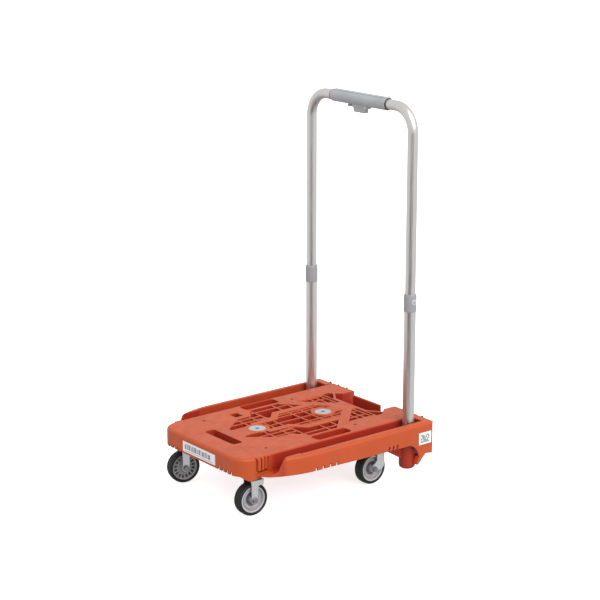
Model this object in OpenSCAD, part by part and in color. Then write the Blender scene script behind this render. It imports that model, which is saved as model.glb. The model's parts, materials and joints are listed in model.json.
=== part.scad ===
// Folding platform cart: a moulded deck on four casters with a telescoping
// push handle that folds forward into channels in the deck.
// Millimetres, +Z up, +Y towards the handle, origin on the floor under the
// middle of the deck. The handle stands upright and fully extended.

/* [Deck] */
// Length over the front fascia and the rear feet
deck_l = 548; // [530:2:570]
// Width over the two side rails
deck_w = 448; // [444:2:460]
// Height of the deck surface above the floor
deck_z = 149; // [147:1:155]
// Height of the skirt's lower edge
skirt_z = 105; // [104:1:108]
// Thickness of the skirt walls
wall = 4; // [3:0.5:5]
// Thickness of the top skin
top_skin = 5; // [4:0.5:6]
// Width of the centre block between the two channels
centre_w = 330; // [326:1:334]
// Radius of the two front corners
corner_r = 42; // [34:1:50]
// Floor height inside the lattice pockets
pocket_z = 127; // [126:1:138]
// Height of the channel floors
channel_z = 108; // [106:1:109]
// Width of each side rail
rail_t = 17; // [15:0.5:17]
// Radius of the rounded top edge of the centre block
top_r = 8; // [5:0.5:9]
// Radius of the rounded top edge of the rails
rail_r = 9; // [3:0.5:9]

/* [Handle] */
// Distance between the two handle tubes, centre to centre
tube_span = 377.4; // [374:0.2:379]
// Distance of the handle behind the middle of the deck
handle_y = 217; // [214:1:219]
// Height of the hinge axis
hinge_z = 126; // [125:0.5:128]
// Outer diameter of the lower tubes
lower_d = 28.6; // [28:0.1:29]
// Outer diameter of the upper tube
upper_d = 25.4; // [24:0.1:25.4]
// Wall of both tubes
tube_t = 1.2; // [1:0.1:1.5]
// Height of the top of the lower tubes
lower_top = 462; // [455:1:470]
// Height of the crossbar's centre line
bar_z = 918; // [880:1:940]
// Centre line radius of the two bends
bend_r = 59; // [50:1:64]
// Length of the upper tube inside the lower one when extended
overlap = 58; // [50:1:70]
// Length of the grip
grip_l = 208; // [190:2:220]
// Outer diameter of the grip
grip_d = 31; // [30:0.5:32]

/* [Casters] */
// Wheel diameter
wheel_d = 80; // [76:1:80]
// Tyre width
tyre_w = 27; // [24:1:28]
// Rim diameter under the tyre
rim_d = 64; // [58:1:66]
// Axle diameter
axle_d = 8; // [6:0.5:8]
// Height of the underside of the caster pads
pad_z = 102; // [101:0.5:103]
// Distance of the front swivel axes from the centre line
front_x = 137; // [134:1:138]
// Distance of the front swivel axes ahead of the middle
front_y = 216; // [210:1:217]
// Distance of the rear wheels from the centre line
rear_x = 152; // [148:1:153]
// Distance of the rear axles behind the middle
rear_y = 126.5; // [124:0.5:130]
// Caster trail from swivel axis to axle
trail = 10; // [8:1:14]
// Offset of the rear caster plates behind their axles
rear_offset = 18.5; // [16:0.5:20]
// Heading of the front left caster at rest
left_heading = -12.5; // [-30:0.5:30]
// Heading of the front right caster at rest
right_heading = -4; // [-30:0.5:30]

/* [Hidden] */
$fn = 64;
eps = 0.05;         // running clearance on a radius
gap = 0.3;          // clearance between parts that only pass each other
half_l = deck_l / 2;
half_w = deck_w / 2;
half_c = centre_w / 2;
foot_t = 2;                       // how far the rear rubber feet stand out
rear_face = half_l - foot_t;
tube_x = tube_span / 2;
rail_in = half_w - rail_t;        // inner face of each side rail
tail_z = hinge_z - 18;            // lower end of the handle
pin_r = 5;
skin = 3.5;                       // wall of the hollow rails
under_z = channel_z - 4;          // underside of the channel floors
sweep_r = 245;                    // long arc of each rail's front corner
sweep_turn = 28;                  // angle that the long arc turns through
sweep_c = [half_w - sweep_r, -90];
nose_r = 50;                      // short arc of each rail's front corner
rib_t = 4.5;                      // thin ribs of the lattice
side_z = 132;                     // floor of the two side pockets
socket_y = handle_y - 2;
socket_r = 20.5;
collar_r = 15.5;
collar_z = 428;
collar_top = 471;
button_r = 4;
button_z = 453;
upper_low = lower_top - overlap;
wheel_r = wheel_d / 2;
axle_r = axle_d / 2;
fork_in = tyre_w / 2 + 2;         // inner face of each fork leg from the wheel's middle plane
fork_t = 2.5;
plate_t = 2.5;
crown_z = wheel_d + 5;            // underside of the fork crown
plate_w = 46;
plate_l = 48;
bolt_x = 17;
bolt_y = 17;
cap_r = 21;
cap_y = [-103, 102];
grip_screw_x = [-38.5, 26];
grip_screw_z = -17.8;             // from the crossbar's centre line
screw_r = 1.4;
slot_w = 119;
slot_h = 29;
slot_y = -204;
label_y = 222;                    // front end of the side label
label_l = 40;
label_z = [95, 125.5];            // lower and upper edge of the side label
rear_r = 10;                      // radius of the rear corners seen from above
SIDES = ["left", "right"];

// ---------- helpers ----------
module between(z0, z1) {
    translate([0, 0, z0]) linear_extrude(z1 - z0) children();
}
module both_sides() {
    children();
    mirror([1, 0, 0]) children();
}
// Box from one corner to the opposite one
module block(a, b) {
    translate(a) cube(b - a);
}
// Cylinder along X from x0 to x1
module rod_x(x0, x1, r) {
    translate([x0, 0, 0]) rotate([0, 90, 0]) cylinder(r = r, h = x1 - x0);
}
// Profile drawn in (y, z), carried along X from x0 to x1
module along_x(x0, x1) {
    translate([x0, 0, 0]) rotate([90, 0, 90]) linear_extrude(x1 - x0) children();
}
module round_rect(w, h, r) {
    square([w - 2 * r, h], center = true);
    square([w, h - 2 * r], center = true);
    for (x = [-1, 1], y = [-1, 1])
        translate([x * (w / 2 - r), y * (h / 2 - r)]) circle(r);
}
module tube(r, t, z0, z1) {
    translate([0, 0, z0]) difference() {
        cylinder(r = r, h = z1 - z0);
        translate([0, 0, -1]) cylinder(r = r - t, h = z1 - z0 + 2);
    }
}
module at_tube(s) {
    translate([s * tube_x, handle_y, 0]) children();
}

// ---------- deck outlines ----------
// Centre block seen from above, drawn in by g
module centre_plan(g) {
    straight = half_l - corner_r;
    translate([-(half_c - g), -straight]) square([centre_w - 2 * g, straight + rear_face - g]);
    translate([-(half_c - corner_r), -(half_l - g)])
        square([centre_w - 2 * corner_r, corner_r]);
    for (s = [-1, 1]) translate([s * (half_c - corner_r), -straight]) circle(corner_r - g);
}
// Right half outside the centre block, drawn in by g: straight along the side,
// then a long arc and a short one round the front corner
module rail_plan(g) {
    heading = [cos(sweep_turn), -sin(sweep_turn)];
    translate([half_c - 40, sweep_c[1]])
        square([half_w - g - half_c + 40, rear_face - sweep_c[1]]);
    intersection() {
        translate(sweep_c) circle(sweep_r - g, $fn = 256);
        polygon([sweep_c, sweep_c + [2 * sweep_r, 0], sweep_c + 2 * sweep_r * heading]);
    }
    translate(sweep_c + (sweep_r - nose_r) * heading) circle(nose_r - g);
}
module rail_ring(g0, g1) {
    difference() {
        rail_plan(g0);
        rail_plan(g1);
    }
}
// Profile of what a rounded top edge takes off, the edge at 0 and the deck to +X
module edge_round(r) {
    difference() {
        translate([-1, deck_z - r]) square([r + 1, r + 1]);
        translate([r, deck_z - r]) circle(r);
    }
}
// Profile of what a rounded lower corner takes off, the corner at the origin and the deck to -X
module corner_round(r) {
    difference() {
        translate([-r, -1]) square([r + 1, r + 1]);
        translate([-r, r]) circle(r);
    }
}
// Field that the lattice fills, grown by g
module lattice_field(g) {
    right = [[36 + g, -161 - g], [68 + g, -120 - g], [82 + g, -103 - g], [83 + g, -60 - g],
             [118 + g, -36 - g], [118 + g, 60 + g], [101 + g, 104 + g], [101 + g, 171 + g]];
    polygon(concat(right, [for (i = [len(right) - 1:-1:0]) [-right[i][0], right[i][1]]]));
}
// A straight flat bar between two points
module bar(a, b, w) {
    run = b - a;
    translate(a) rotate(atan2(run[1], run[0])) translate([0, -w / 2]) square([norm(run), w]);
}
// The broad flat bars of the lattice, flush with the deck
module flat_bars() {
    for (y = cap_y) translate([0, y]) circle(cap_r + 10);
    translate([-26, -180]) square([52, 70]);
    translate([-19, cap_y[1]]) square([38, 90]);
    for (s = [-1, 1]) {
        bar([s * -8, 192], [s * 124, 60], 25);
        bar([s * 62.5, 120], [s * 62.5, -3], 19);
        bar([s * 66, 4], [s * 27, -32], 18);
        bar([s * 31, -22], [s * 31, -95], 17);
    }
}
// The thin ribs of the lattice
module thin_ribs() {
    half = rib_t / 2;
    for (x = [-98.5, -46, -32, 0, 32, 46, 98.5])
        translate([x - half, -60]) square([rib_t, 240]);
    for (x = [-72, -52, 52, 72]) translate([x - half, -165]) square([rib_t, 130]);
    for (x = [-78, 78]) translate([x - half, 100]) square([rib_t, 75]);
    for (y = [-105, -66, -38, 31, 66, 98, 138, 156]) translate([-120, y - half]) square([240, rib_t]);
}
module lattice_pockets() {
    difference() {
        lattice_field(0);
        flat_bars();
        thin_ribs();
    }
    for (s = [-1, 1]) translate([s * 66 - 34, 175]) square([68, 8]);
}
// Long shallow pocket beside the lattice
module side_pocket(g) {
    translate([142.5, 11.5]) round_rect(34 + 2 * g, 107 + 2 * g, 10 + g);
}
// Bay at the rear, open to the back, grown by g
module rear_bay(g) {
    right = [[106 + g, 187 - g], [106 + g, 205 + g], [80 + g, 232 + g], [80 + g, half_l + 1]];
    polygon(concat(right, [for (i = [len(right) - 1:-1:0]) [-right[i][0], right[i][1]]]));
}
// Raised lip that crosses the bay
module bay_lip() {
    translate([-62, 187]) square([124, 6]);
    for (s = [-1, 1]) bar([s * 60, 190], [s * 98, 218], 6);
}
// Side view of a rail (y, z), arched over the foot socket
module rail_side() {
    polygon([[-240, under_z], [-240, channel_z + 0.5], [-206, channel_z + 1], [-200, 112],
             [-195, 118], [-190, 126], [-186, 134], [-181, 142], [-176, 147], [-170, deck_z],
             [rear_face, deck_z], [rear_face, 66], [245, 70], [234, 60], [225, 49.5], [218, 45],
             [214, 48], [218, 56], [223, 66], [220, 76], [214, 87], [205, 95], [193, 100.5],
             [120, 101], [0, 102.5], [-60, under_z]]);
}
// Side view of the webs before and behind each foot socket (y, z)
module socket_webs() {
    polygon([[145, under_z], [145, 90], [150, 85], [188, 62], [socket_y, 62], [socket_y, 36.5],
             [socket_y + 21, 36.5], [rear_face - 1, 56], [rear_face - 1, under_z]]);
}

// ---------- deck ----------
module deck_side() {
    // channel floor
    between(under_z, channel_z) intersection() {
        rail_plan(0);
        translate([half_c - wall, -240]) square([half_w, 240 + 246]);
    }
    // side rail, with only its outer skin below the channel floor
    intersection() {
        along_x(half_c, half_w + 1) rail_side();
        union() {
            between(under_z, deck_z) rail_ring(0, rail_t);
            between(20, under_z + 1) rail_ring(0, skin);
        }
    }
    // rear wall, pocket wall and roof behind the handle
    block([half_c - wall, rear_face - wall, 66], [half_w, rear_face, deck_z]);
    block([half_c - wall, 246, under_z], [half_w, 250, deck_z]);
    block([half_c - wall, 246, deck_z - top_skin], [half_w, rear_face, deck_z]);
    block([half_c - wall, 230, 66], [half_c, rear_face, deck_z]);
    // foot socket under the handle tube, its webs and its gusset to the skin
    translate([tube_x, socket_y, 0]) rotate_extrude()
        polygon([[0, 31.5], [15, 31.5], [19, 34.5], [socket_r, 40], [socket_r, channel_z], [0, channel_z]]);
    along_x(tube_x - 3, tube_x + 3) socket_webs();
    along_x(tube_x + 14, half_w - 1)
        polygon([[214, 48], [218, 45], [225, 49.5], [234, 60], [231, 67], [223, 66], [218, 56]]);
    // grip pad on the side of the front corner, which the grooves split into ribs
    translate([0, -197, 0]) rotate([90, 0, 0]) linear_extrude(32.5)
        polygon([[half_c - 1, 116], [half_c + 4, 116], [half_c + 4, deck_z - 8],
                 [half_c + 0.5, deck_z - 1.5], [half_c - 1, deck_z - 1.5]]);
    // skirt drawn down round the front corner
    intersection() {
        between(94, skirt_z + 1) difference() {
            centre_plan(0);
            centre_plan(wall);
        }
        along_x(100, half_c + 1)
            polygon([[-half_l - 1, 94], [-236, 94], [-204, 99.5], [-190, 106], [-half_l - 1, 106]]);
        translate([0, -190, 0]) rotate([90, 0, 0]) linear_extrude(half_l - 180)
            polygon([[147, 106], [155, 100.5], [162, 94], [half_c + 1, 94], [half_c + 1, 106]]);
    }
    // pads that carry the casters
    for (c = [[front_x, -front_y], [rear_x, rear_y + rear_offset]])
        translate([c[0], c[1], 0]) difference() {
            block([-25, -25, pad_z], [25, 25, deck_z - top_skin + 1]);
            block([-21, -21, pad_z + 6], [21, 21, deck_z - top_skin]);
        }
}
module under_ribs() {
    for (x = [-110, -55, 0, 55, 110])
        block([x - 1.5, -half_l + 2, channel_z], [x + 1.5, rear_face - 2, deck_z - 2]);
    for (y = [-235, -150, -75, 0, 75, 150, 232])
        block([-half_c + 2, y - 1.5, channel_z], [half_c - 2, y + 1.5, deck_z - 2]);
}
module deck_solid() {
    difference() {
        between(skirt_z, deck_z) centre_plan(0);
        between(skirt_z - 1, deck_z - top_skin) centre_plan(wall);
    }
    under_ribs();
    between(pocket_z - 3, deck_z) lattice_field(4);
    between(pocket_z - 3, deck_z) translate([-104, 171]) square([208, 18]);
    both_sides() {
        deck_side();
        between(side_z - 3, deck_z) side_pocket(3);
    }
    intersection() {
        between(114, deck_z) rear_bay(wall);
        between(113, deck_z + 1) centre_plan(0);
    }
    // collar round the front hand slot
    between(skirt_z + 3, deck_z) translate([0, slot_y]) round_rect(slot_w + 8, slot_h + 8, 12);
    // cup under the small square pocket
    block([-128, -99, deck_z - 16], [-94, -70, deck_z]);
    for (y = cap_y) translate([0, y, 112]) cylinder(r = 12, h = 30);
}
// Rounded top edges of the centre block and of one rail
module edge_cuts() {
    straight = half_l - corner_r;
    along_x(-(half_c - corner_r), half_c - corner_r) translate([-half_l, 0]) edge_round(top_r);
    along_x(-half_w - 1, half_w + 1) translate([rear_face, 0]) mirror([1, 0]) edge_round(4);
    translate([half_c - corner_r, -straight, 0]) rotate(-90) rotate_extrude(angle = 90)
        translate([corner_r, 0]) mirror([1, 0]) edge_round(top_r);
    translate([half_c, rear_face, 0]) rotate([90, 0, 0]) linear_extrude(rear_face + straight - 20)
        mirror([1, 0]) edge_round(5);
    along_x(half_c, half_w + 1) {
        translate([rear_face, 0]) mirror([1, 0]) edge_round(7);
        translate([rear_face, 66]) corner_round(8);
    }
    translate([half_w, rear_face, 0]) rotate([90, 0, 0]) linear_extrude(rear_face - sweep_c[1])
        mirror([1, 0]) edge_round(rail_r);
    translate(sweep_c) rotate(-sweep_turn) rotate_extrude(angle = sweep_turn, $fn = 256)
        translate([sweep_r, 0]) mirror([1, 0]) edge_round(rail_r);
}
// Cross-section (x, z) of the front of a channel, round under the folded tube
module channel_trough() {
    out = upper_d / 2 + 1.2;
    polygon([[half_c, channel_z], [tube_x + 4, channel_z], [tube_x + out - 4.5, hinge_z - 14],
             [tube_x + out - 1, hinge_z - 7], [tube_x + out, hinge_z], [tube_x + out, deck_z + 1],
             [half_c, deck_z + 1]]);
}
module deck_cuts() {
    between(pocket_z, deck_z + 1) lattice_pockets();
    between(deck_z - 1, deck_z + 1) difference() {
        lattice_field(0);
        flat_bars();
    }
    between(118, deck_z + 1) difference() {
        rear_bay(0);
        bay_lip();
        translate([-52, 243]) square([104, 5]);
    }
    // front hand slot, right through
    between(skirt_z - 2, deck_z + 1) translate([0, slot_y]) round_rect(slot_w, slot_h, 8);
    // small square pocket and four dimples
    block([-125, -96, deck_z - 12], [-97, -73, deck_z + 1]);
    for (x = [-124.7, 124.7], y = [-172, 101])
        translate([x, y, deck_z - 3]) cylinder(r = 4.5, h = 4);
    // seats and screw holes of the two caps
    for (y = cap_y) translate([0, y, 0]) {
        translate([0, 0, deck_z - 3]) cylinder(r = cap_r, h = 4);
        translate([0, 0, 120]) cylinder(r = 2.5, h = 30);
    }
    // label seats in the fascia and in the right rail
    block([-69.5, -half_l - 1, 109.5], [63, -half_l + 0.5, 136.5]);
    block([half_w - 0.4, label_y - 0.5, label_z[0] - 0.5],
          [half_w + 1, label_y + label_l + 0.5, label_z[1] + 0.5]);
    both_sides() {
        edge_cuts();
        between(side_z, deck_z + 1) side_pocket(0);
        // channel kept open, with a narrower trough at the front, and the hollow of the socket
        between(channel_z, deck_z + 1)
            polygon([[half_c, -131], [rail_in, -131], [rail_in, 246], [half_c, 246]]);
        translate([0, -130, 0]) rotate([90, 0, 0]) linear_extrude(80) channel_trough();
        translate([tube_x, socket_y, 35.5]) cylinder(r = socket_r - 3.7, h = 80);
        // hinge pin bores
        translate([0, handle_y, hinge_z]) rod_x(half_c - wall - 1, rail_in + wall, pin_r + eps);
        // hollow of the rail, open below
        intersection() {
            between(60, deck_z - 6) rail_ring(skin, rail_t - skin);
            along_x(half_c, half_w)
                polygon([[-125, 60], [200, 60], [200, 67], [rear_face - wall, 67],
                         [rear_face - wall, deck_z], [-125, deck_z]]);
        }
        // slanted vents low in the rail, notches in the fascia and a slit beside the ribs
        for (y = [-100, -79, -57, -38, 125, 138, 151])
            translate([half_w - 2, y, 102]) rotate([-14, 0, 0]) cube([8, 5.5, 21], center = true);
        for (x = [76, 92, 108, 124])
            translate([x, -half_l, skirt_z]) cube([6.5, 12, 15], center = true);
        block([half_c - 14, -226, 110.5], [half_c + 1, -197, 115.5]);
        for (y = [-229.5, -218, -207, -197])
            block([half_c - 2.5, y - 2, 115.4], [half_c + 5, y + 2, deck_z - 2.5]);
        // rounded rear corner seen from above
        translate([half_w - rear_r, rear_face - rear_r, 60]) difference() {
            cube([rear_r + 1, rear_r + 1, 90]);
            translate([0, 0, -1]) cylinder(r = rear_r, h = 92);
        }
        // screw holes of the caster plates
        for (c = [[front_x, -front_y], [rear_x, rear_y + rear_offset]], x = [-1, 1], y = [-1, 1])
            translate([c[0] + x * bolt_x, c[1] + y * bolt_y, pad_z - 1])
                cylinder(r = 2.5, h = 9);
    }
}
module deck() {
    color("orangered") difference() {
        deck_solid();
        deck_cuts();
    }
}
module deck_cap(y) {
    color("gainsboro") translate([0, y, 0]) difference() {
        translate([0, 0, deck_z - 3]) cylinder(r = cap_r - 0.4, h = 2.8);
        translate([0, 0, deck_z - 1.6]) cylinder(r = 5.2, h = 2);
        translate([0, 0, deck_z - 4]) cylinder(r = 2.5, h = 4);
    }
}
module deck_cap_screws() {
    color("dimgray") for (y = cap_y) translate([0, y, 0]) {
        difference() {
            translate([0, 0, deck_z - 1.6]) cylinder(r = 4.8, h = 1.3);
            for (a = [0, 90]) translate([0, 0, deck_z]) rotate(a) cube([5, 1.2, 2], center = true);
        }
        translate([0, 0, 122]) cylinder(r = 2.45, h = deck_z - 1.6 - 122);
    }
}
module rear_feet() {
    color("dimgray") for (s = [-1, 1], x = [112, 145, 178])
        translate([s * x, rear_face, 0]) rotate([90, 0, 0]) translate([0, 0, -foot_t])
            linear_extrude(foot_t) translate([0, deck_z - 6.5]) round_rect(7, 13, 2);
}
module front_label() {
    color("white") block([-69, -half_l + 0.1, 110], [62.5, -half_l + 0.5, 136]);
}
module side_label() {
    color("white")
        block([half_w - 0.4, label_y, label_z[0]], [half_w - 0.05, label_y + label_l, label_z[1]]);
}

// ---------- hinge ----------
module pivot_pins() {
    color("silver") both_sides() translate([0, handle_y, hinge_z]) {
        rod_x(half_c - wall - 5, rail_in + 3.6, pin_r);
        rod_x(rail_in + 3.6, rail_in + 6.6, 8);
    }
}
module pivot_clips() {
    color("dimgray") both_sides() translate([0, handle_y, hinge_z]) difference() {
        rod_x(half_c - wall - 1.6, half_c - wall - 0.1, 9);
        rod_x(half_c - wall - 3, half_c - wall + 1, pin_r);
        block([half_c - wall - 3, -2.5, -10], [half_c - wall + 1, 2.5, 0]);
    }
}
module pivot_spacers() {
    near = tube_x - lower_d / 2 - gap;
    far = tube_x + lower_d / 2 + gap;
    color("whitesmoke") both_sides() translate([0, handle_y, hinge_z]) difference() {
        union() {
            rod_x(half_c, near, 8);
            rod_x(far, rail_in, 8);
        }
        rod_x(half_c - 1, rail_in + 1, pin_r);
    }
}

// ---------- lower handle ----------
module lower_tube(s) {
    color("silver") at_tube(s) difference() {
        tube(lower_d / 2, tube_t, tail_z, lower_top);
        translate([0, 0, hinge_z]) rod_x(-20, 20, pin_r + eps);
        translate([0, 0, button_z]) rod_x(s < 0 ? -20 : 0, s < 0 ? 0 : 20, button_r + eps);
    }
}
module foot_plug(s) {
    color("dimgray") at_tube(s) difference() {
        translate([0, 0, tail_z]) cylinder(r = lower_d / 2 - tube_t, h = 28);
        translate([0, 0, hinge_z]) rod_x(-20, 20, pin_r + eps);
    }
}
module collar(s) {
    color("gray") at_tube(s) difference() {
        translate([0, 0, collar_z]) rotate_extrude()
            polygon([[0, 0], [collar_r - 0.6, 0], [collar_r, 3], [collar_r, 38],
                     [collar_r - 1.2, collar_top - collar_z], [0, collar_top - collar_z]]);
        translate([0, 0, collar_z - 1]) cylinder(r = lower_d / 2, h = lower_top - collar_z + 1);
        translate([0, 0, collar_z]) cylinder(r = upper_d / 2 + eps, h = 60);
        translate([0, 0, button_z]) rod_x(s < 0 ? -20 : 0, s < 0 ? 0 : 20, button_r + eps);
    }
}
// Push button through the collar's outer side
module collar_button(s) {
    color("gainsboro") at_tube(s) mirror([s < 0 ? 1 : 0, 0, 0]) translate([0, 0, button_z]) {
        rod_x(14.9, 16.3, button_r);
        translate([16.3, 0, 0]) rotate([0, 90, 0]) rotate_extrude()
            polygon([[0, 0], [button_r, 0], [button_r - 0.9, 0.9], [0, 0.9]]);
    }
}

// ---------- upper handle ----------
module u_bar(r) {
    leg_top = bar_z - bend_r;
    for (s = [-1, 1]) at_tube(s) translate([0, 0, upper_low])
        cylinder(r = r, h = leg_top - upper_low);
    for (s = [-1, 1]) translate([s * (tube_x - bend_r), handle_y, leg_top])
        mirror([s < 0 ? 1 : 0, 0, 0]) rotate([90, 0, 0])
            rotate_extrude(angle = 90) translate([bend_r, 0]) circle(r);
    translate([0, handle_y, bar_z]) rod_x(-(tube_x - bend_r), tube_x - bend_r, r);
}
module upper_tube() {
    color("silver") difference() {
        u_bar(upper_d / 2);
        u_bar(upper_d / 2 - tube_t);
        for (s = [-1, 1]) at_tube(s) translate([0, 0, upper_low - 1])
            cylinder(r = upper_d / 2 - tube_t, h = 3);
    }
}
module guide_bushes() {
    bore = lower_d / 2 - tube_t;
    color("whitesmoke") for (s = [-1, 1]) at_tube(s)
        difference() {
            union() {
                translate([0, 0, upper_low - 4]) cylinder(r = bore - eps, h = 4);
                translate([0, 0, upper_low]) cylinder(r = upper_d / 2 - tube_t, h = 14);
            }
            translate([0, 0, upper_low - 5]) cylinder(r = 8, h = 30);
        }
}
// Grip body round the crossbar with the trigger housing below it
module grip_solid() {
    translate([0, handle_y, bar_z]) difference() {
        union() {
            rod_x(-grip_l / 2 + 3, grip_l / 2 - 3, grip_d / 2);
            block([-grip_l / 2 + 3, -8, 0], [grip_l / 2 - 3, 8, grip_d / 2 + 0.3]);
            block([-24, -8.5, -20.5], [30, 8.5, -10]);
            block([-42, -5, -21], [-35, 5, -10]);
        }
        rod_x(-grip_l, grip_l, upper_d / 2);
        block([-21 - gap, -6.5 - gap, -30], [21 + gap, 6.5 + gap, 0]);
        for (x = grip_screw_x) translate([x, -20, grip_screw_z]) rotate([-90, 0, 0])
            cylinder(r = screw_r, h = 40);
    }
}
module grip_front_shell() {
    color("gray") difference() {
        grip_solid();
        block([-grip_l, handle_y, 850], [grip_l, handle_y + 60, 960]);
    }
}
module grip_rear_shell() {
    color("gray") difference() {
        grip_solid();
        block([-grip_l, handle_y - 60, 850], [grip_l, handle_y, 960]);
    }
}
module grip_end_rings() {
    color("dimgray") both_sides() translate([0, handle_y, bar_z]) difference() {
        rod_x(grip_l / 2 - 3, grip_l / 2, upper_d / 2 + 1.6);
        rod_x(grip_l / 2 - 4, grip_l / 2 + 1, upper_d / 2);
    }
}
module grip_screws() {
    color("silver") for (x = grip_screw_x) translate([x, handle_y, bar_z + grip_screw_z])
        rotate([-90, 0, 0]) {
            translate([0, 0, -9.7]) cylinder(r = 2.3, h = x < 0 ? 4.7 : 1.2);
            translate([0, 0, -9.7]) cylinder(r = screw_r, h = x < 0 ? 14 : 17);
        }
}
module release_trigger() {
    color("gray") translate([0, handle_y, bar_z]) along_x(-21, 21)
        polygon([[-6.5, -29], [-4.5, -32], [4.5, -32], [6.5, -29], [6.5, -18.5], [-6.5, -18.5]]);
}

// ---------- casters ----------
module at_front(s) {
    translate([s * front_x, -front_y, 0]) children();
}
module at_rear(s) {
    translate([s * rear_x, rear_y + rear_offset, 0]) children();
}
module all_casters() {
    for (s = [-1, 1]) {
        at_front(s) children();
        at_rear(s) children();
    }
}
module caster_plates() {
    color("silver") all_casters() difference() {
        between(pad_z - plate_t, pad_z) round_rect(plate_w, plate_l, 6);
        for (x = [-1, 1], y = [-1, 1])
            translate([x * bolt_x, y * bolt_y, pad_z - 5]) cylinder(r = 2.6, h = 8);
    }
}
module caster_bolts() {
    color("silver") all_casters() for (x = [-1, 1], y = [-1, 1])
        translate([x * bolt_x, y * bolt_y, 0]) {
            translate([0, 0, pad_z - plate_t - 3]) cylinder(r = 4.6, h = 3, $fn = 6);
            translate([0, 0, pad_z - plate_t]) cylinder(r = 2.45, h = plate_t + 7);
        }
}
// Pins that the front forks turn on, headed below the crown
module swivel_pins() {
    color("silver") for (s = [-1, 1]) at_front(s) {
        translate([0, 0, crown_z - 3.3]) cylinder(r = 8, h = 3);
        translate([0, 0, crown_z - 0.3]) cylinder(r = 5, h = pad_z - plate_t - crown_z + 0.3);
    }
}
// Dust seals on top of the front crowns
module swivel_seals() {
    seal_h = pad_z - plate_t - crown_z - 3 - gap;
    color("dimgray") for (s = [-1, 1]) at_front(s) translate([0, 0, crown_z + 3 + gap]) difference() {
        rotate_extrude() polygon([[0, 0], [15.5, 0], [15.5, 5], [13.5, seal_h], [0, seal_h]]);
        translate([0, 0, -1]) cylinder(r = 5, h = 30);
    }
}
// Front leg seen from the side (y, z), the axle at y = reach
module front_leg(reach) {
    top = crown_z + 3;
    polygon([[reach - 9, top], [reach - 8.5, 77], [reach - 8, 60], [reach - 8, wheel_r],
             [reach + 9, wheel_r], [reach + 10.5, 72], [reach + 14, 75.5], [reach + 24, 74],
             [reach + 26, top]]);
    translate([reach, wheel_r]) circle(9);
}
// Rear leg seen from the side: it drops behind the wheel's middle and toes forward
module rear_leg(reach) {
    polygon([[reach + 9, crown_z + 3], [reach + 8.5, 61], [reach + 1.5, 54], [reach - 6, 49],
             [reach, wheel_r - 6], [reach + 12, wheel_r - 5.5], [reach + 25, wheel_r - 2.5],
             [reach + 30, wheel_r + 3], [reach + 31, wheel_r + 8], [reach + 31, crown_z + 3]]);
    translate([reach, wheel_r]) circle(9);
}
// Two legs from the child profile, a crown from y0 to y1 and the axle bore
module fork(reach, y0, y1) {
    difference() {
        union() {
            for (s = [-1, 1]) along_x(s < 0 ? -fork_in - fork_t : fork_in,
                                      s < 0 ? -fork_in : fork_in + fork_t) children();
            block([-fork_in - fork_t, y0, crown_z], [fork_in + fork_t, y1, crown_z + 3]);
        }
        translate([0, reach, wheel_r]) rod_x(-40, 40, axle_r);
    }
}
module front_fork(s) {
    turn = s < 0 ? left_heading : right_heading;
    color("silver") at_front(s) rotate(turn) difference() {
        union() {
            fork(-trail, -trail - 6, -trail + 26) front_leg(-trail);
            translate([0, 0, crown_z]) cylinder(r = 16, h = 3);
        }
        translate([0, 0, crown_z - 1]) cylinder(r = 5 + eps, h = 6);
    }
}
// Rear forks reach forward to the wheel and up to the plate
module rear_fork(s) {
    color("silver") at_rear(s) {
        fork(-rear_offset, -rear_offset + 9, -rear_offset + 31) rear_leg(-rear_offset);
        tube(11, 3, crown_z + 3, pad_z - plate_t);
    }
}
module front_wheel_place(s) {
    turn = s < 0 ? left_heading : right_heading;
    at_front(s) rotate(turn) translate([0, -trail, wheel_r]) children();
}
module rear_wheel_place(s) {
    translate([s * rear_x, rear_y, wheel_r]) children();
}
module axle() {
    end = fork_in + fork_t;
    color("silver") {
        rod_x(-end - 4, end + 6, axle_r);
        translate([-end - 4.5, 0, 0]) rotate([0, 90, 0]) cylinder(r = 7, h = 4.5, $fn = 6);
    }
}
module axle_nut() {
    end = fork_in + fork_t;
    color("silver") difference() {
        union() {
            rod_x(end, end + 1.2, 7.5);
            translate([end + 1.2, 0, 0]) rotate([0, 90, 0]) cylinder(r = 7, h = 4, $fn = 6);
        }
        rod_x(end - 1, end + 8, axle_r);
    }
}
module tyre() {
    half = tyre_w / 2;
    rim = rim_d / 2;
    color("black") rotate([0, 90, 0]) rotate_extrude($fn = 96)
        polygon([[rim, -half + 3], [rim + 1, -half + 0.8], [wheel_r - 5, -half], [wheel_r - 1.6, -half + 2.5],
                 [wheel_r, -half + 7], [wheel_r, half - 7], [wheel_r - 1.6, half - 2.5],
                 [wheel_r - 5, half], [rim + 1, half - 0.8], [rim, half - 3]]);
}
// Hub with a smooth dish on one face and ribs on the other
module hub() {
    half = tyre_w / 2;
    rim = rim_d / 2;
    color("lightgray") rotate([0, 90, 0]) difference() {
        union() {
            rotate_extrude($fn = 96)
                polygon([[axle_r + eps, -half - 1], [9, -half - 1], [9, -2], [rim - 4, -2],
                         [rim - 4, -half + 3], [rim, -half + 3], [rim, half - 3], [rim - 3, half - 3],
                         [rim - 5, half - 8], [14, half - 8], [11, half - 2], [9, half + 1],
                         [axle_r + eps, half + 1]]);
            for (a = [0:45:315]) rotate(a) translate([8, -1.2, -half + 2]) cube([rim - 11, 2.4, half - 3]);
        }
        for (a = [22.5:45:360]) rotate(a) translate([18, 0, -half]) cylinder(r = 3.4, h = half + 3, $fn = 24);
    }
}

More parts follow.
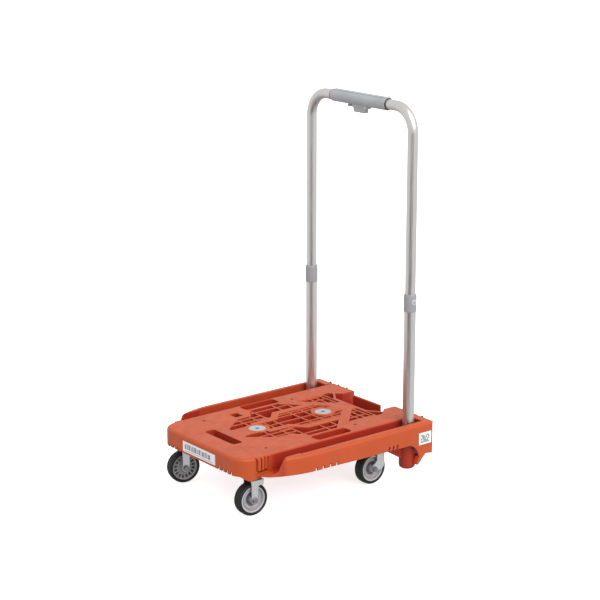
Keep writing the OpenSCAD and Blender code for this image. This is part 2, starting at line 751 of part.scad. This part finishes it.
// ---------- placing ----------
deck();
deck_cap(cap_y[0]);  // deck_cap_front
deck_cap(cap_y[1]);  // deck_cap_rear
deck_cap_screws();
rear_feet();
front_label();
side_label();
pivot_pins();
pivot_clips();
pivot_spacers();
upper_tube();
guide_bushes();
grip_front_shell();
grip_rear_shell();
grip_end_rings();
grip_screws();
release_trigger();
caster_plates();
caster_bolts();
swivel_pins();
swivel_seals();
for (i = [0, 1]) {
    s = 2 * i - 1;
    side = SIDES[i];
    lower_tube(s);
    foot_plug(s);
    collar(s);
    collar_button(s);
    front_fork(s);
    rear_fork(s);
    front_wheel_place(s) axle();
    rear_wheel_place(s) axle();
    front_wheel_place(s) axle_nut();
    rear_wheel_place(s) axle_nut();
    front_wheel_place(s) tyre();
    rear_wheel_place(s) tyre();
    front_wheel_place(s) rotate(s < 0 ? 180 : 0) hub();
    rear_wheel_place(s) rotate(s < 0 ? 180 : 0) hub();
}
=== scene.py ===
import json
import math

import bmesh
import bpy
from mathutils import Matrix, Vector


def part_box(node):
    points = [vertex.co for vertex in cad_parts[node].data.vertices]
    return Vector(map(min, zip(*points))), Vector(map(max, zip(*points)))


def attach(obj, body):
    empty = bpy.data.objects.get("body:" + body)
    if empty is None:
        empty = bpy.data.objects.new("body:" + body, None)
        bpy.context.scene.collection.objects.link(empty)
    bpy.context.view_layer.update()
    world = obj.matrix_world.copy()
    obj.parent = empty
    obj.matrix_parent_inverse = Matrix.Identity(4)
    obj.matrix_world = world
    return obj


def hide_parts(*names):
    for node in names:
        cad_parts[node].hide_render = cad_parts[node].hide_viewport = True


# A folding platform cart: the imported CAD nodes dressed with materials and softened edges, with
# wheels, label prints and button rings built here. Metres and +Z up, except where MM is applied.
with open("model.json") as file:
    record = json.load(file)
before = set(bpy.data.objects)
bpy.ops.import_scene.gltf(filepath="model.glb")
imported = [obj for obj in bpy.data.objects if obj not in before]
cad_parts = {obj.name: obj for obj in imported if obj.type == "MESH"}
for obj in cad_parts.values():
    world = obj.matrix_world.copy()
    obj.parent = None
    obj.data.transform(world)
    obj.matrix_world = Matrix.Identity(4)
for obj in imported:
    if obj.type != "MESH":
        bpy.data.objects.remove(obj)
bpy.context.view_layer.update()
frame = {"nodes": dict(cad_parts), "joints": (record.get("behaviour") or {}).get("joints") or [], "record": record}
NODES = frame["nodes"]
MM = 0.001


# ---------- materials ----------
def material(name, color, roughness, metallic=0.0, specular=0.5):
    """An empty principled material, and the nodes and links to add to."""
    mat = bpy.data.materials.new(name)
    mat.use_nodes = True
    nodes, links = mat.node_tree.nodes, mat.node_tree.links
    shader = nodes["Principled BSDF"]
    shader.inputs["Base Color"].default_value = (*color, 1.0)
    shader.inputs["Roughness"].default_value = roughness
    shader.inputs["Metallic"].default_value = metallic
    shader.inputs["Specular IOR Level"].default_value = specular
    return mat, nodes, links, shader


def noise(nodes, links, scale, detail=3.0, stretch=(1, 1, 1)):
    """Noise in the object's own coordinates; stretch below 1 draws it out along that axis."""
    coords = nodes.new("ShaderNodeTexCoord")
    mapping = nodes.new("ShaderNodeMapping")
    mapping.inputs["Scale"].default_value = stretch
    tex = nodes.new("ShaderNodeTexNoise")
    tex.inputs["Scale"].default_value = scale
    tex.inputs["Detail"].default_value = detail
    links.new(coords.outputs["Object"], mapping.inputs["Vector"])
    links.new(mapping.outputs["Vector"], tex.inputs["Vector"])
    return tex.outputs["Fac"]


# The part of a noise's 0 to 1 range that its values mostly fill
NOISE_LOW, NOISE_HIGH = 0.35, 0.65


def map_range(nodes, links, value, low, high, start=NOISE_LOW, stop=NOISE_HIGH):
    """Takes value from start..stop to low..high, and holds it there beyond."""
    node = nodes.new("ShaderNodeMapRange")
    node.inputs["From Min"].default_value = start
    node.inputs["From Max"].default_value = stop
    node.inputs["To Min"].default_value = low
    node.inputs["To Max"].default_value = high
    links.new(value, node.inputs["Value"])
    return node.outputs["Result"]


def blend_colors(nodes, links, value, a, b):
    """Runs from colour a to colour b as a noise value rises."""
    ramp = nodes.new("ShaderNodeValToRGB")
    ramp.color_ramp.elements[0].position = NOISE_LOW
    ramp.color_ramp.elements[1].position = NOISE_HIGH
    ramp.color_ramp.elements[0].color = (*a, 1.0)
    ramp.color_ramp.elements[1].color = (*b, 1.0)
    links.new(value, ramp.inputs["Fac"])
    return ramp.outputs["Color"]


def bump(nodes, links, shader, value, depth):
    node = nodes.new("ShaderNodeBump")
    node.inputs["Strength"].default_value = 1.0
    node.inputs["Distance"].default_value = depth
    links.new(value, node.inputs["Height"])
    links.new(node.outputs["Normal"], shader.inputs["Normal"])


def shade(color, factor):
    return tuple(c * factor for c in color)


def plastic(name, color, roughness, grain=1800, depth=0.00003, variation=0.06, specular=0.5):
    """Moulded plastic: a fine spark-eroded grain with slow drifts of colour and gloss."""
    mat, nodes, links, shader = material(name, color, roughness, specular=specular)
    slow = noise(nodes, links, 14, 4)
    low, high = shade(color, 1 - variation), shade(color, 1 + variation)
    links.new(blend_colors(nodes, links, slow, low, high), shader.inputs["Base Color"])
    links.new(map_range(nodes, links, noise(nodes, links, 45, 5), roughness - 0.06, roughness + 0.07),
              shader.inputs["Roughness"])
    bump(nodes, links, shader, noise(nodes, links, grain, 2), depth)
    return mat


def metal(name, color, roughness, stretch=(1, 1, 0.02), scale=900, depth=0.00001):
    """Metal with fine drawn or brushed lines along one direction."""
    mat, nodes, links, shader = material(name, color, roughness, metallic=1.0)
    lines = noise(nodes, links, scale, 4, stretch)
    links.new(blend_colors(nodes, links, lines, shade(color, 0.93), shade(color, 1.04)),
              shader.inputs["Base Color"])
    links.new(map_range(nodes, links, lines, roughness - 0.05, roughness + 0.08),
              shader.inputs["Roughness"])
    bump(nodes, links, shader, lines, depth)
    return mat


def math_node(nodes, links, operation, a, b=None):
    node = nodes.new("ShaderNodeMath")
    node.operation = operation
    links.new(a, node.inputs[0])
    if b is not None:
        links.new(b, node.inputs[1])
    return node.outputs[0]


def band(nodes, links, value, low, high, soft):
    """1 where value lies between low and high, falling to 0 over soft on either side."""
    rise = map_range(nodes, links, value, 0.0, 1.0, low - soft, low + soft)
    fall = map_range(nodes, links, value, 1.0, 0.0, high - soft, high + soft)
    return math_node(nodes, links, "MULTIPLY", rise, fall)


def mix_into(nodes, links, shader, value, color):
    """Mixes a plain colour over what feeds the shader's base colour, as value goes to 1."""
    node = nodes.new("ShaderNodeMix")
    node.data_type = "RGBA"
    factor, under, over = node.inputs[0], node.inputs[6], node.inputs[7]
    links.new(value, factor)
    links.new(shader.inputs["Base Color"].links[0].from_socket, under)
    over.default_value = (*color, 1.0)
    links.new(node.outputs[2], shader.inputs["Base Color"])


# Reach of the deck's hollows, which are the same on both sides and are given painted shade: |x|, y and z limits
BELOW_ALL = -1.0
HOLLOW_REAR = 0.266
CHANNEL_OUT, CHANNEL_FRONT = 0.2068, -0.188
SLOT_HALF, SLOT_FRONT = 0.064, -0.222
TOP_Z = 0.1468
SOCKET_OUT, SOCKET_TOP_Z = 0.213, 0.103


def deck_plastic():
    """The deck's plastic, with painted shade: deeper red inside its channels, pockets, slot and foot sockets,
    though the plastic is one colour.
    """
    mat = plastic("moulded_orange", (0.49, 0.076, 0.019), 0.44, variation=0.05, specular=0.32)
    nodes, links = mat.node_tree.nodes, mat.node_tree.links
    split = nodes.new("ShaderNodeSeparateXYZ")
    links.new(nodes.new("ShaderNodeTexCoord").outputs["Object"], split.inputs["Vector"])
    x = math_node(nodes, links, "ABSOLUTE", split.outputs["X"])
    y, z = split.outputs["Y"], split.outputs["Z"]

    def within(half, half_soft, front, front_soft):
        return math_node(nodes, links, "MULTIPLY", band(nodes, links, x, BELOW_ALL, half, half_soft),
                         band(nodes, links, y, front, HOLLOW_REAR, front_soft))

    channels = within(CHANNEL_OUT, 0.002, CHANNEL_FRONT, 0.012)
    slot = within(SLOT_HALF, 0.001, SLOT_FRONT, 0.001)
    upper = math_node(nodes, links, "MULTIPLY", band(nodes, links, z, BELOW_ALL, TOP_Z, 0.0012),
                      math_node(nodes, links, "MAXIMUM", channels, slot))
    sockets = math_node(nodes, links, "MULTIPLY",
                        band(nodes, links, z, BELOW_ALL, SOCKET_TOP_Z, 0.0012),
                        within(SOCKET_OUT, 0.001, CHANNEL_FRONT, 0.003))
    # Painted shade: the hollows are mixed to a deeper red that stands in for the shade falling in them
    mask = math_node(nodes, links, "MAXIMUM", upper, sockets)
    mix_into(nodes, links, nodes["Principled BSDF"], mask, (0.36, 0.028, 0.013))
    return mat


def hub_plastic():
    """Grey hub plastic with painted shade: darker by the amount that the mesh marks on each point, in its
    recesses, on its ribs and over its inner face.
    """
    mat = plastic("hub_grey", (0.37, 0.355, 0.365), 0.4)
    nodes, links = mat.node_tree.nodes, mat.node_tree.links
    painted_shade = nodes.new("ShaderNodeAttribute")
    painted_shade.attribute_name = "painted_shade"
    # Painted shade: marked points are mixed toward a dark grey
    mix_into(nodes, links, nodes["Principled BSDF"], painted_shade.outputs["Fac"], (0.12, 0.115, 0.118))
    return mat


MATERIALS = {
    "deck_plastic": deck_plastic(),
    "cap_plastic": plastic("pale_grey", (0.40, 0.42, 0.45), 0.45),
    "grey_plastic": plastic("mid_grey", (0.40, 0.405, 0.42), 0.45),
    "dark_plastic": plastic("dark_grey", (0.05, 0.05, 0.055), 0.45),
    "white_plastic": plastic("natural_white", (0.75, 0.75, 0.72), 0.4),
    "hub_plastic": hub_plastic(),
    "label_film": plastic("label", (0.85, 0.85, 0.84), 0.35),
    "foot_rubber": plastic("foot_rubber", (0.05, 0.045, 0.045), 0.65),
    "tyre_rubber": plastic("tyre_rubber", (0.013, 0.013, 0.014), 0.62, specular=0.35),
    "tube_aluminium": metal("anodised_tube", (0.70, 0.685, 0.67), 0.33),
    "zinc_steel": metal("zinc_plate", (0.68, 0.69, 0.70), 0.34, (1, 1, 1), 300, 0.000003),
    "dark_steel": metal("dark_zinc", (0.2, 0.2, 0.21), 0.4, (1, 1, 1), 400),
}
# Finishes that differ from their slot's own; the two rim greys are a lighter and a darker copy of the hub's grey,
# as painted light and painted shade
INK = plastic("label_ink", (0.20, 0.235, 0.25), 0.5, grain=2600)
PALE_INK = plastic("label_pale_ink", (0.33, 0.38, 0.42), 0.5, grain=2600)
RING = plastic("button_ring", (0.66, 0.66, 0.68), 0.4)
COLLAR = plastic("collar_grey", (0.31, 0.315, 0.33), 0.45)
RIM = plastic("rim_grey", (0.50, 0.50, 0.51), 0.35)
SHADED_INNER_RIM = plastic("inner_rim_painted_shade", (0.27, 0.265, 0.27), 0.4)
AXLE = metal("axle_zinc", (0.30, 0.30, 0.31), 0.5, (1, 1, 1), 400)


def dress_cad():
    """Gives each CAD node its record slot's material, then the collars and axles their own."""
    for row in frame["record"]["subparts"]:
        obj = NODES[row["node"]]
        obj.data.materials.clear()
        obj.data.materials.append(MATERIALS[row["material_slot"]])
    for side in ("left", "right"):
        NODES["collar_" + side].data.materials[0] = COLLAR
        for end in ("front_", "rear_"):
            NODES[end + side + "_axle"].data.materials[0] = AXLE
            NODES[end + side + "_axle_nut"].data.materials[0] = AXLE


RAIL_BEND_Y = -0.090  # where the rails' rounded edges turn from straight to curved
SAME_PLACE = 1e-5


def hide_rail_fins(deck):
    """Masks the sheet of no thickness that stands over each rail's rounded edge at its bend."""
    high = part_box("deck")[1]
    group = deck.vertex_groups.new(name="rail_fins")
    for vertex in deck.data.vertices:
        x, y, z = vertex.co
        if max(high[0] - abs(x), abs(y - RAIL_BEND_Y), high[2] - z) < SAME_PLACE:
            group.add([vertex.index], 1.0, "REPLACE")
    mask = deck.modifiers.new("rail_fins", "MASK")
    mask.vertex_group = group.name
    mask.invert_vertex_group = True


def soften(obj, width, segments=2, gap=0.00001):
    """Rounds a carried-over node's edges, as a mould or a press leaves them. Points closer than
    gap are joined first."""
    weld = obj.modifiers.new("weld", "WELD")
    weld.merge_threshold = gap
    bevel = obj.modifiers.new("edge", "BEVEL")
    bevel.width = width
    bevel.segments = segments
    bevel.limit_method = "ANGLE"
    bevel.angle_limit = math.radians(35)
    bevel.harden_normals = False
    normals = obj.modifiers.new("normals", "WEIGHTED_NORMAL")
    normals.keep_sharp = False


# ---------- camera, floor and light ----------
def look(eye, back, lens):
    """Camera at eye, with its back along the given direction and no roll."""
    cam = bpy.data.objects.new("camera", bpy.data.cameras.new("camera"))
    bpy.context.scene.collection.objects.link(cam)
    back = Vector(back).normalized()
    right = Vector((0, 0, 1)).cross(back).normalized()
    up = back.cross(right)
    cam.matrix_world = Matrix((
        (right.x, up.x, back.x, eye[0]),
        (right.y, up.y, back.y, eye[1]),
        (right.z, up.z, back.z, eye[2]),
        (0, 0, 0, 1)))
    cam.data.lens = lens
    cam.data.sensor_width = 36
    cam.data.clip_end = 60
    bpy.context.scene.camera = cam


def sun(name, toward, strength, spread):
    """A soft distant light that shines from the given direction."""
    lamp = bpy.data.lights.new(name, "SUN")
    lamp.energy = strength
    lamp.angle = math.radians(spread)
    obj = bpy.data.objects.new(name, lamp)
    bpy.context.scene.collection.objects.link(obj)
    obj.rotation_euler = Vector(toward).to_track_quat("Z", "Y").to_euler()


FLOOR_HALF = 30
FLAG_STEPS = 12
FLAG_START, FLAG_SWEEP = -84, 68  # degrees round the handle
FLAG_CENTER_Y = 0.217
FLAG_NEAR, FLAG_FAR = 0.75, 6.0
FLAG_Z = 0.004


def floor_plane():
    mesh = bpy.data.meshes.new("floor")
    h = FLOOR_HALF
    mesh.from_pydata([(-h, -h, 0), (h, -h, 0), (h, h, 0), (-h, h, 0)], [], [(0, 1, 2, 3)])
    floor = bpy.data.objects.new("floor", mesh)
    bpy.context.scene.collection.objects.link(floor)
    mat, nodes, links, shader = material("floor", (0.9, 0.9, 0.9), 0.6, specular=0.2)
    tone = noise(nodes, links, 2)
    links.new(blend_colors(nodes, links, tone, (0.895, 0.895, 0.895), (0.905, 0.905, 0.905)),
              shader.inputs["Base Color"])
    shader.inputs["Emission Color"].default_value = (1, 1, 1, 1)
    shader.inputs["Emission Strength"].default_value = 0.7
    mesh.materials.append(mat)
    floor.visible_diffuse = floor.visible_glossy = False


def floor_flag():
    """A card on the floor in front that only gloss can see, so the tubes show a dark core."""
    verts, faces = [], []
    for i in range(FLAG_STEPS + 1):
        turn = math.radians(FLAG_START + FLAG_SWEEP * i / FLAG_STEPS)
        for r in (FLAG_NEAR, FLAG_FAR):
            verts.append((r * math.cos(turn), FLAG_CENTER_Y + r * math.sin(turn), FLAG_Z))
        if i:
            b = len(verts) - 4
            faces.append((b, b + 1, b + 3, b + 2))
    mesh = bpy.data.meshes.new("flag")
    mesh.from_pydata(verts, [], faces)
    card = bpy.data.objects.new("flag", mesh)
    bpy.context.scene.collection.objects.link(card)
    mat, _, _, shader = material("flag_card", (0.1, 0.1, 0.1), 0.9, specular=0.0)
    shader.inputs["Emission Color"].default_value = (1, 1, 1, 1)
    shader.inputs["Emission Strength"].default_value = 0.06
    mesh.materials.append(mat)
    card.visible_camera = card.visible_diffuse = card.visible_shadow = card.visible_transmission = False


def studio():
    """A white floor in a white room, brighter above than below, lit softly from the right."""
    floor_plane()
    floor_flag()
    world = bpy.data.worlds.new("studio")
    bpy.context.scene.world = world
    world.use_nodes = True
    nodes, links = world.node_tree.nodes, world.node_tree.links
    split = nodes.new("ShaderNodeSeparateXYZ")
    links.new(nodes.new("ShaderNodeTexCoord").outputs["Generated"], split.inputs["Vector"])
    nodes["Background"].inputs["Color"].default_value = (1, 1, 1, 1)
    links.new(map_range(nodes, links, split.outputs["Z"], 0.45, 0.86, -0.75, -0.2),
              nodes["Background"].inputs["Strength"])
    sun("key", (0.75, -0.05, 0.66), 2.0, 50)
    bpy.context.scene.view_settings.view_transform = "Standard"


# ---------- mesh helpers ----------
def add_piece(name, verts, faces, body, slot, place=None, sharp=38):
    """A mesh piece from points in metres, smooth except at its sharp edges, riding on a body."""
    mesh = bpy.data.meshes.new(name)
    mesh.from_pydata([tuple(v) for v in verts], [], faces)
    if place is not None:
        mesh.transform(place)
    bm = bmesh.new()
    bm.from_mesh(mesh)
    bmesh.ops.recalc_face_normals(bm, faces=bm.faces)
    bm.to_mesh(mesh)
    bm.free()
    mesh.shade_smooth()
    mesh.set_sharp_from_angle(angle=math.radians(sharp))
    obj = bpy.data.objects.new(name, mesh)
    bpy.context.scene.collection.objects.link(obj)
    mesh.materials.append(MATERIALS[slot])
    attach(obj, body)
    return obj


def lathe(profile, segments, dent=None):
    """A closed profile of (along, radius) pairs in mm, turned round the X axis.
    dent(i, k) is how far point k of the profile sinks at step i."""
    count = len(profile)
    verts, faces = [], []
    for i in range(segments):
        turn = 2 * math.pi * i / segments
        for k, (along, radius) in enumerate(profile):
            r = (radius - (dent(i, k) if dent else 0)) * MM
            verts.append((along * MM, r * math.cos(turn), r * math.sin(turn)))
        for k in range(count):
            a, b = i * count, (i + 1) % segments * count
            faces.append((a + k, a + (k + 1) % count, b + (k + 1) % count, b + k))
    return verts, faces


def arc(center, radius, start, stop, steps):
    """Points of an arc, in degrees."""
    out = []
    for i in range(steps + 1):
        a = math.radians(start + (stop - start) * i / steps)
        out.append((center[0] + radius * math.cos(a), center[1] + radius * math.sin(a)))
    return out


def joint(name):
    return next(j for j in frame["joints"] if j["name"] == name)


def axle_place(name, flip):
    """Matrix that lays the local X axis on a wheel's axle; flip turns the wheel round."""
    row = joint(name)
    axis = Vector(row["axis"]).normalized() * (-1 if flip else 1)
    up = Vector((0, 0, 1))
    side = up.cross(axis)
    x, y, z = row["pos_m"]
    return Matrix((
        (axis.x, side.x, up.x, x),
        (axis.y, side.y, up.y, y),
        (axis.z, side.z, up.z, z),
        (0, 0, 0, 1)))


# ---------- wheels ----------
# In mm: a profile point is (along the axle, radius)
WHEEL_R = 40
TYRE_HALF = 13.5
RIM_R = 32
TYRE_STEPS = 176
CUT_EVERY = 4
CUT_DEPTH = 0.7
HUB_STEPS = 96
RIBS = 16
# Painted shade on the hub, from 0 to 1: its inner face, and its ribs
INNER_FACE_SHADE = 0.45
RIB_SHADE = 0.3


def tyre_profile():
    """Rounded shoulders, a crowned tread with two fine grooves, and a bead against the rim."""
    crown = [(-8.5, WHEEL_R - 0.35), (-4.6, WHEEL_R), (-4.2, WHEEL_R - 0.8), (-3.4, WHEEL_R - 0.8),
             (-3.0, WHEEL_R)]
    crown += [(-a, r) for a, r in reversed(crown)]
    left = [(-TYRE_HALF + 3, RIM_R), (-TYRE_HALF + 1.6, RIM_R + 0.4), (-TYRE_HALF + 0.9, RIM_R + 1.6),
            (-TYRE_HALF + 1.3, RIM_R + 2.2), (-TYRE_HALF + 0.2, RIM_R + 3.2)]
    left += arc((-TYRE_HALF + 5, WHEEL_R - 5.4), 5, 180, 100, 5)
    right = [(-a, r) for a, r in reversed(left)]
    return left + crown + right


def tyre(corner, place):
    """A tyre with short cuts across both shoulders."""
    profile = tyre_profile()
    shoulder = [k for k, (a, r) in enumerate(profile) if 6 < abs(a) < 12.4 and r > WHEEL_R - 3.5]

    def tread(i, k):
        return CUT_DEPTH if i % CUT_EVERY == 0 and k in shoulder else 0.0

    verts, faces = lathe(profile, TYRE_STEPS, tread)
    piece = add_piece(corner + "_tyre_tread", verts, faces, corner + "_wheel", "tyre_rubber", place, 50)
    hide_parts(corner + "_tyre")


def dish_profile():
    """Hub section: concentric rings on the outer face, a stepped disc and a pocket on the inner face."""
    outer = [(10.5, RIM_R), (10.6, RIM_R - 0.4), (10.4, 29.2), (9.6, 28.3), (5.2, 27.2), (4.6, 26.2),
             (4.8, 25.0), (7.0, 23.6), (7.7, 22.4), (7.7, 20.6), (6.8, 19.0), (3.0, 14.6), (2.2, 12.8),
             (2.2, 10.4), (12.6, 8.6), (14.4, 8.0), (14.5, 4.1)]
    inner = [(-14.5, 4.1), (-14.4, 8.4), (-13.4, 9.0), (-6.2, 9.8), (-6.0, 13.0), (-8.4, 14.2),
             (-8.6, 18.8), (-7.8, 19.6), (-1.6, 20.0), (-1.2, 26.6), (-9.4, 28.2), (-10.4, 29.2),
             (-10.6, RIM_R - 0.4), (-10.5, RIM_R)]
    return outer + inner


def rim_ring():
    """The two lips just inside the tyre, outer then inner; hub() colours them lighter and darker than the hub, as
    painted light and shade.
    """
    lip = [(10.2, 29.4), (10.9, 29.2), (11.5, 29.9), (11.5, 31.2), (11.0, 31.8), (10.2, 31.7)]
    return lip, [(-a, r) for a, r in reversed(lip)]


def hub_painted_shade(along, radius):
    """How much painted shade a point of the hub gets: its recesses are dark, its inner face is in between."""
    inner_pocket = -2 < along < 0
    outer_well = 0 < along < 6 and 9.5 < radius < 17
    if inner_pocket or outer_well:
        return 1.0
    return INNER_FACE_SHADE if -9 < along < 0 else 0.0


def add_rib(verts, faces, turn):
    """One tapered rib across the inner pocket, turned round the axle."""
    outline = ((-0.6, 18.6, 1.5), (-8.2, 18.6, 1.3), (-9.4, 28.6, 1.7), (-0.6, 28.6, 1.9))
    b = len(verts)
    for along, radius, half in outline:
        for z in (-half, half):
            verts.append((along * MM, (radius * math.cos(turn) - z * math.sin(turn)) * MM,
                          (radius * math.sin(turn) + z * math.cos(turn)) * MM))
    faces += [(b, b + 2, b + 4, b + 6), (b + 1, b + 7, b + 5, b + 3)]
    for k in range(4):
        near, far = b + 2 * k, b + (2 * k + 2) % 8
        faces.append((near, near + 1, far + 1, far))


def hub(corner, place):
    """The hub with its ribs and its two rims, with painted shade marked on its points."""
    profile = dish_profile()
    verts, faces = lathe(profile, HUB_STEPS)
    # Painted shade per point, which the hub's material turns into a darker grey
    dark = [hub_painted_shade(a, r) for a, r in profile] * HUB_STEPS
    for i in range(RIBS):
        add_rib(verts, faces, 2 * math.pi * i / RIBS)
    dark += [RIB_SHADE] * (len(verts) - len(dark))
    piece = add_piece(corner + "_hub_dish", verts, faces, corner + "_wheel", "hub_plastic", place, 30)
    piece.data.attributes.new("painted_shade", "FLOAT", "POINT").data.foreach_set("value", dark)
    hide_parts(corner + "_hub")
    # Painted light and shade: the outer lip takes a lighter grey and the inner lip a darker grey than the hub
    for name, lip, mat in zip(("_rim_out", "_rim_in"), rim_ring(), (RIM, SHADED_INNER_RIM)):
        ring = add_piece(corner + name, *lathe(lip, HUB_STEPS), corner + "_wheel", "hub_plastic",
                         place, 50)
        ring.data.materials[0] = mat


def wheels():
    for end in ("front", "rear"):
        for side in ("left", "right"):
            corner = end + "_" + side
            place = axle_place(corner + "_wheel_spin", side == "left")
            tyre(corner, place)
            hub(corner, place)


# ---------- labels ----------
PRINT_LIFT = 0.04  # mm that a print stands off its label


def print_blocks(name, quads, ink, outward):
    """Thin printed blocks on a flat label: each is four corners in mm, lifted off along outward."""
    verts, faces = [], []
    step = Vector(outward) * PRINT_LIFT
    for quad in quads:
        b = len(verts)
        for level in (0, 1):
            verts += [(Vector(c) + step * level) * MM for c in quad]
        faces += [(b, b + 1, b + 2, b + 3), (b + 4, b + 7, b + 6, b + 5)]
        faces += [(b + k, b + 4 + k, b + 4 + (k + 1) % 4, b + (k + 1) % 4) for k in range(4)]
    piece = add_piece(name, verts, faces, "deck", "label_film")
    piece.data.materials[0] = ink


def front_print():
    """A row of plain upright bars across the front label, with a thin rule under them."""
    low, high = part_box("front_label")
    x0, x1, y = low[0] / MM, high[0] / MM, low[1] / MM
    z0, z1 = low[2] / MM, high[2] / MM
    margin, gap = 8, 2.8
    widths = (6, 4, 7, 3, 5, 8, 4, 6, 3, 7, 5, 4, 8)

    def upright(left, right, bottom, top):
        return [(left, y, bottom), (right, y, bottom), (right, y, top), (left, y, top)]

    x = x0 + margin
    quads = []
    for i, width in enumerate(widths):
        if x + width > x1 - 6:
            break
        quads.append(upright(x, x + width, z0 + 7.5, z1 - (5 if i % 3 else 6.5)))
        x += width + gap
    quads.append(upright(x0 + margin, x1 - margin, z0 + 3.4, z0 + 4.6))
    print_blocks("front_label_print", quads, INK, (0, -1, 0))


def side_print():
    """A patch of small squares in two greys on the side label."""
    low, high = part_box("side_label")
    x = high[0] / MM
    y0, z0 = low[1] / MM + 6, low[2] / MM + 4.5
    columns, rows, cell = 7, 5, 4.0
    size = cell - 0.3
    dark, pale = [], []
    for i in range(columns):
        for k in range(rows):
            mix = (i * 5 + k * 3 + i * k) % 5
            if mix == 4:
                continue
            y, z = y0 + i * cell, z0 + k * cell
            quad = [(x, y, z), (x, y + size, z), (x, y + size, z + size), (x, y, z + size)]
            (dark if mix < 3 else pale).append(quad)
    print_blocks("side_label_squares", dark, INK, (1, 0, 0))
    print_blocks("side_label_tones", pale, PALE_INK, (1, 0, 0))


# ---------- collars ----------
def button_rings():
    """A raised rim round each collar's button, following the collar's curve."""
    steps = 40
    # Radius round the button, and rise over the collar, in mm
    section = [(4.5, -0.6), (4.5, 0.5), (4.9, 0.8), (5.9, 0.8), (6.4, 0.4), (6.6, -0.6)]
    for side, sign in (("left", -1), ("right", 1)):
        low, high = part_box("collar_" + side)
        cx, cy = (low[0] + high[0]) / 2 / MM, (low[1] + high[1]) / 2 / MM
        button_low, button_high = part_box("collar_button_" + side)
        cz = (button_low[2] + button_high[2]) / 2 / MM
        radius = (high[1] - low[1]) / 2 / MM
        verts, faces = [], []
        for i in range(steps):
            turn = 2 * math.pi * i / steps
            for r, rise in section:
                y, z = r * math.cos(turn), r * math.sin(turn)
                x = math.sqrt(radius * radius - y * y) + rise
                verts.append(((cx + sign * x) * MM, (cy + y) * MM, (cz + z) * MM))
            a, b = i * len(section), (i + 1) % steps * len(section)
            for k in range(len(section)):
                n = (k + 1) % len(section)
                faces.append((a + k, a + n, b + n, b + k))
        piece = add_piece("collar_ring_" + side, verts, faces, "lower_handle", "cap_plastic")
        piece.data.materials[0] = RING


# ---------- build ----------
look((3.1903, -2.5043, 1.5318), (0.75678, -0.60095, 0.25717), 104.56)
studio()
dress_cad()
hide_rail_fins(NODES["deck"])
soften(NODES["deck"], 0.0009, gap=0.00003)
for name in ("grip_front_shell", "grip_rear_shell", "release_trigger"):
    soften(NODES[name], 0.0008, 3)
for name in ("collar_left", "collar_right", "rear_feet"):
    soften(NODES[name], 0.0006)
for corner in ("front_left", "front_right", "rear_left", "rear_right"):
    soften(NODES[corner + "_fork"], 0.0006)
wheels()
front_print()
side_print()
button_rings()
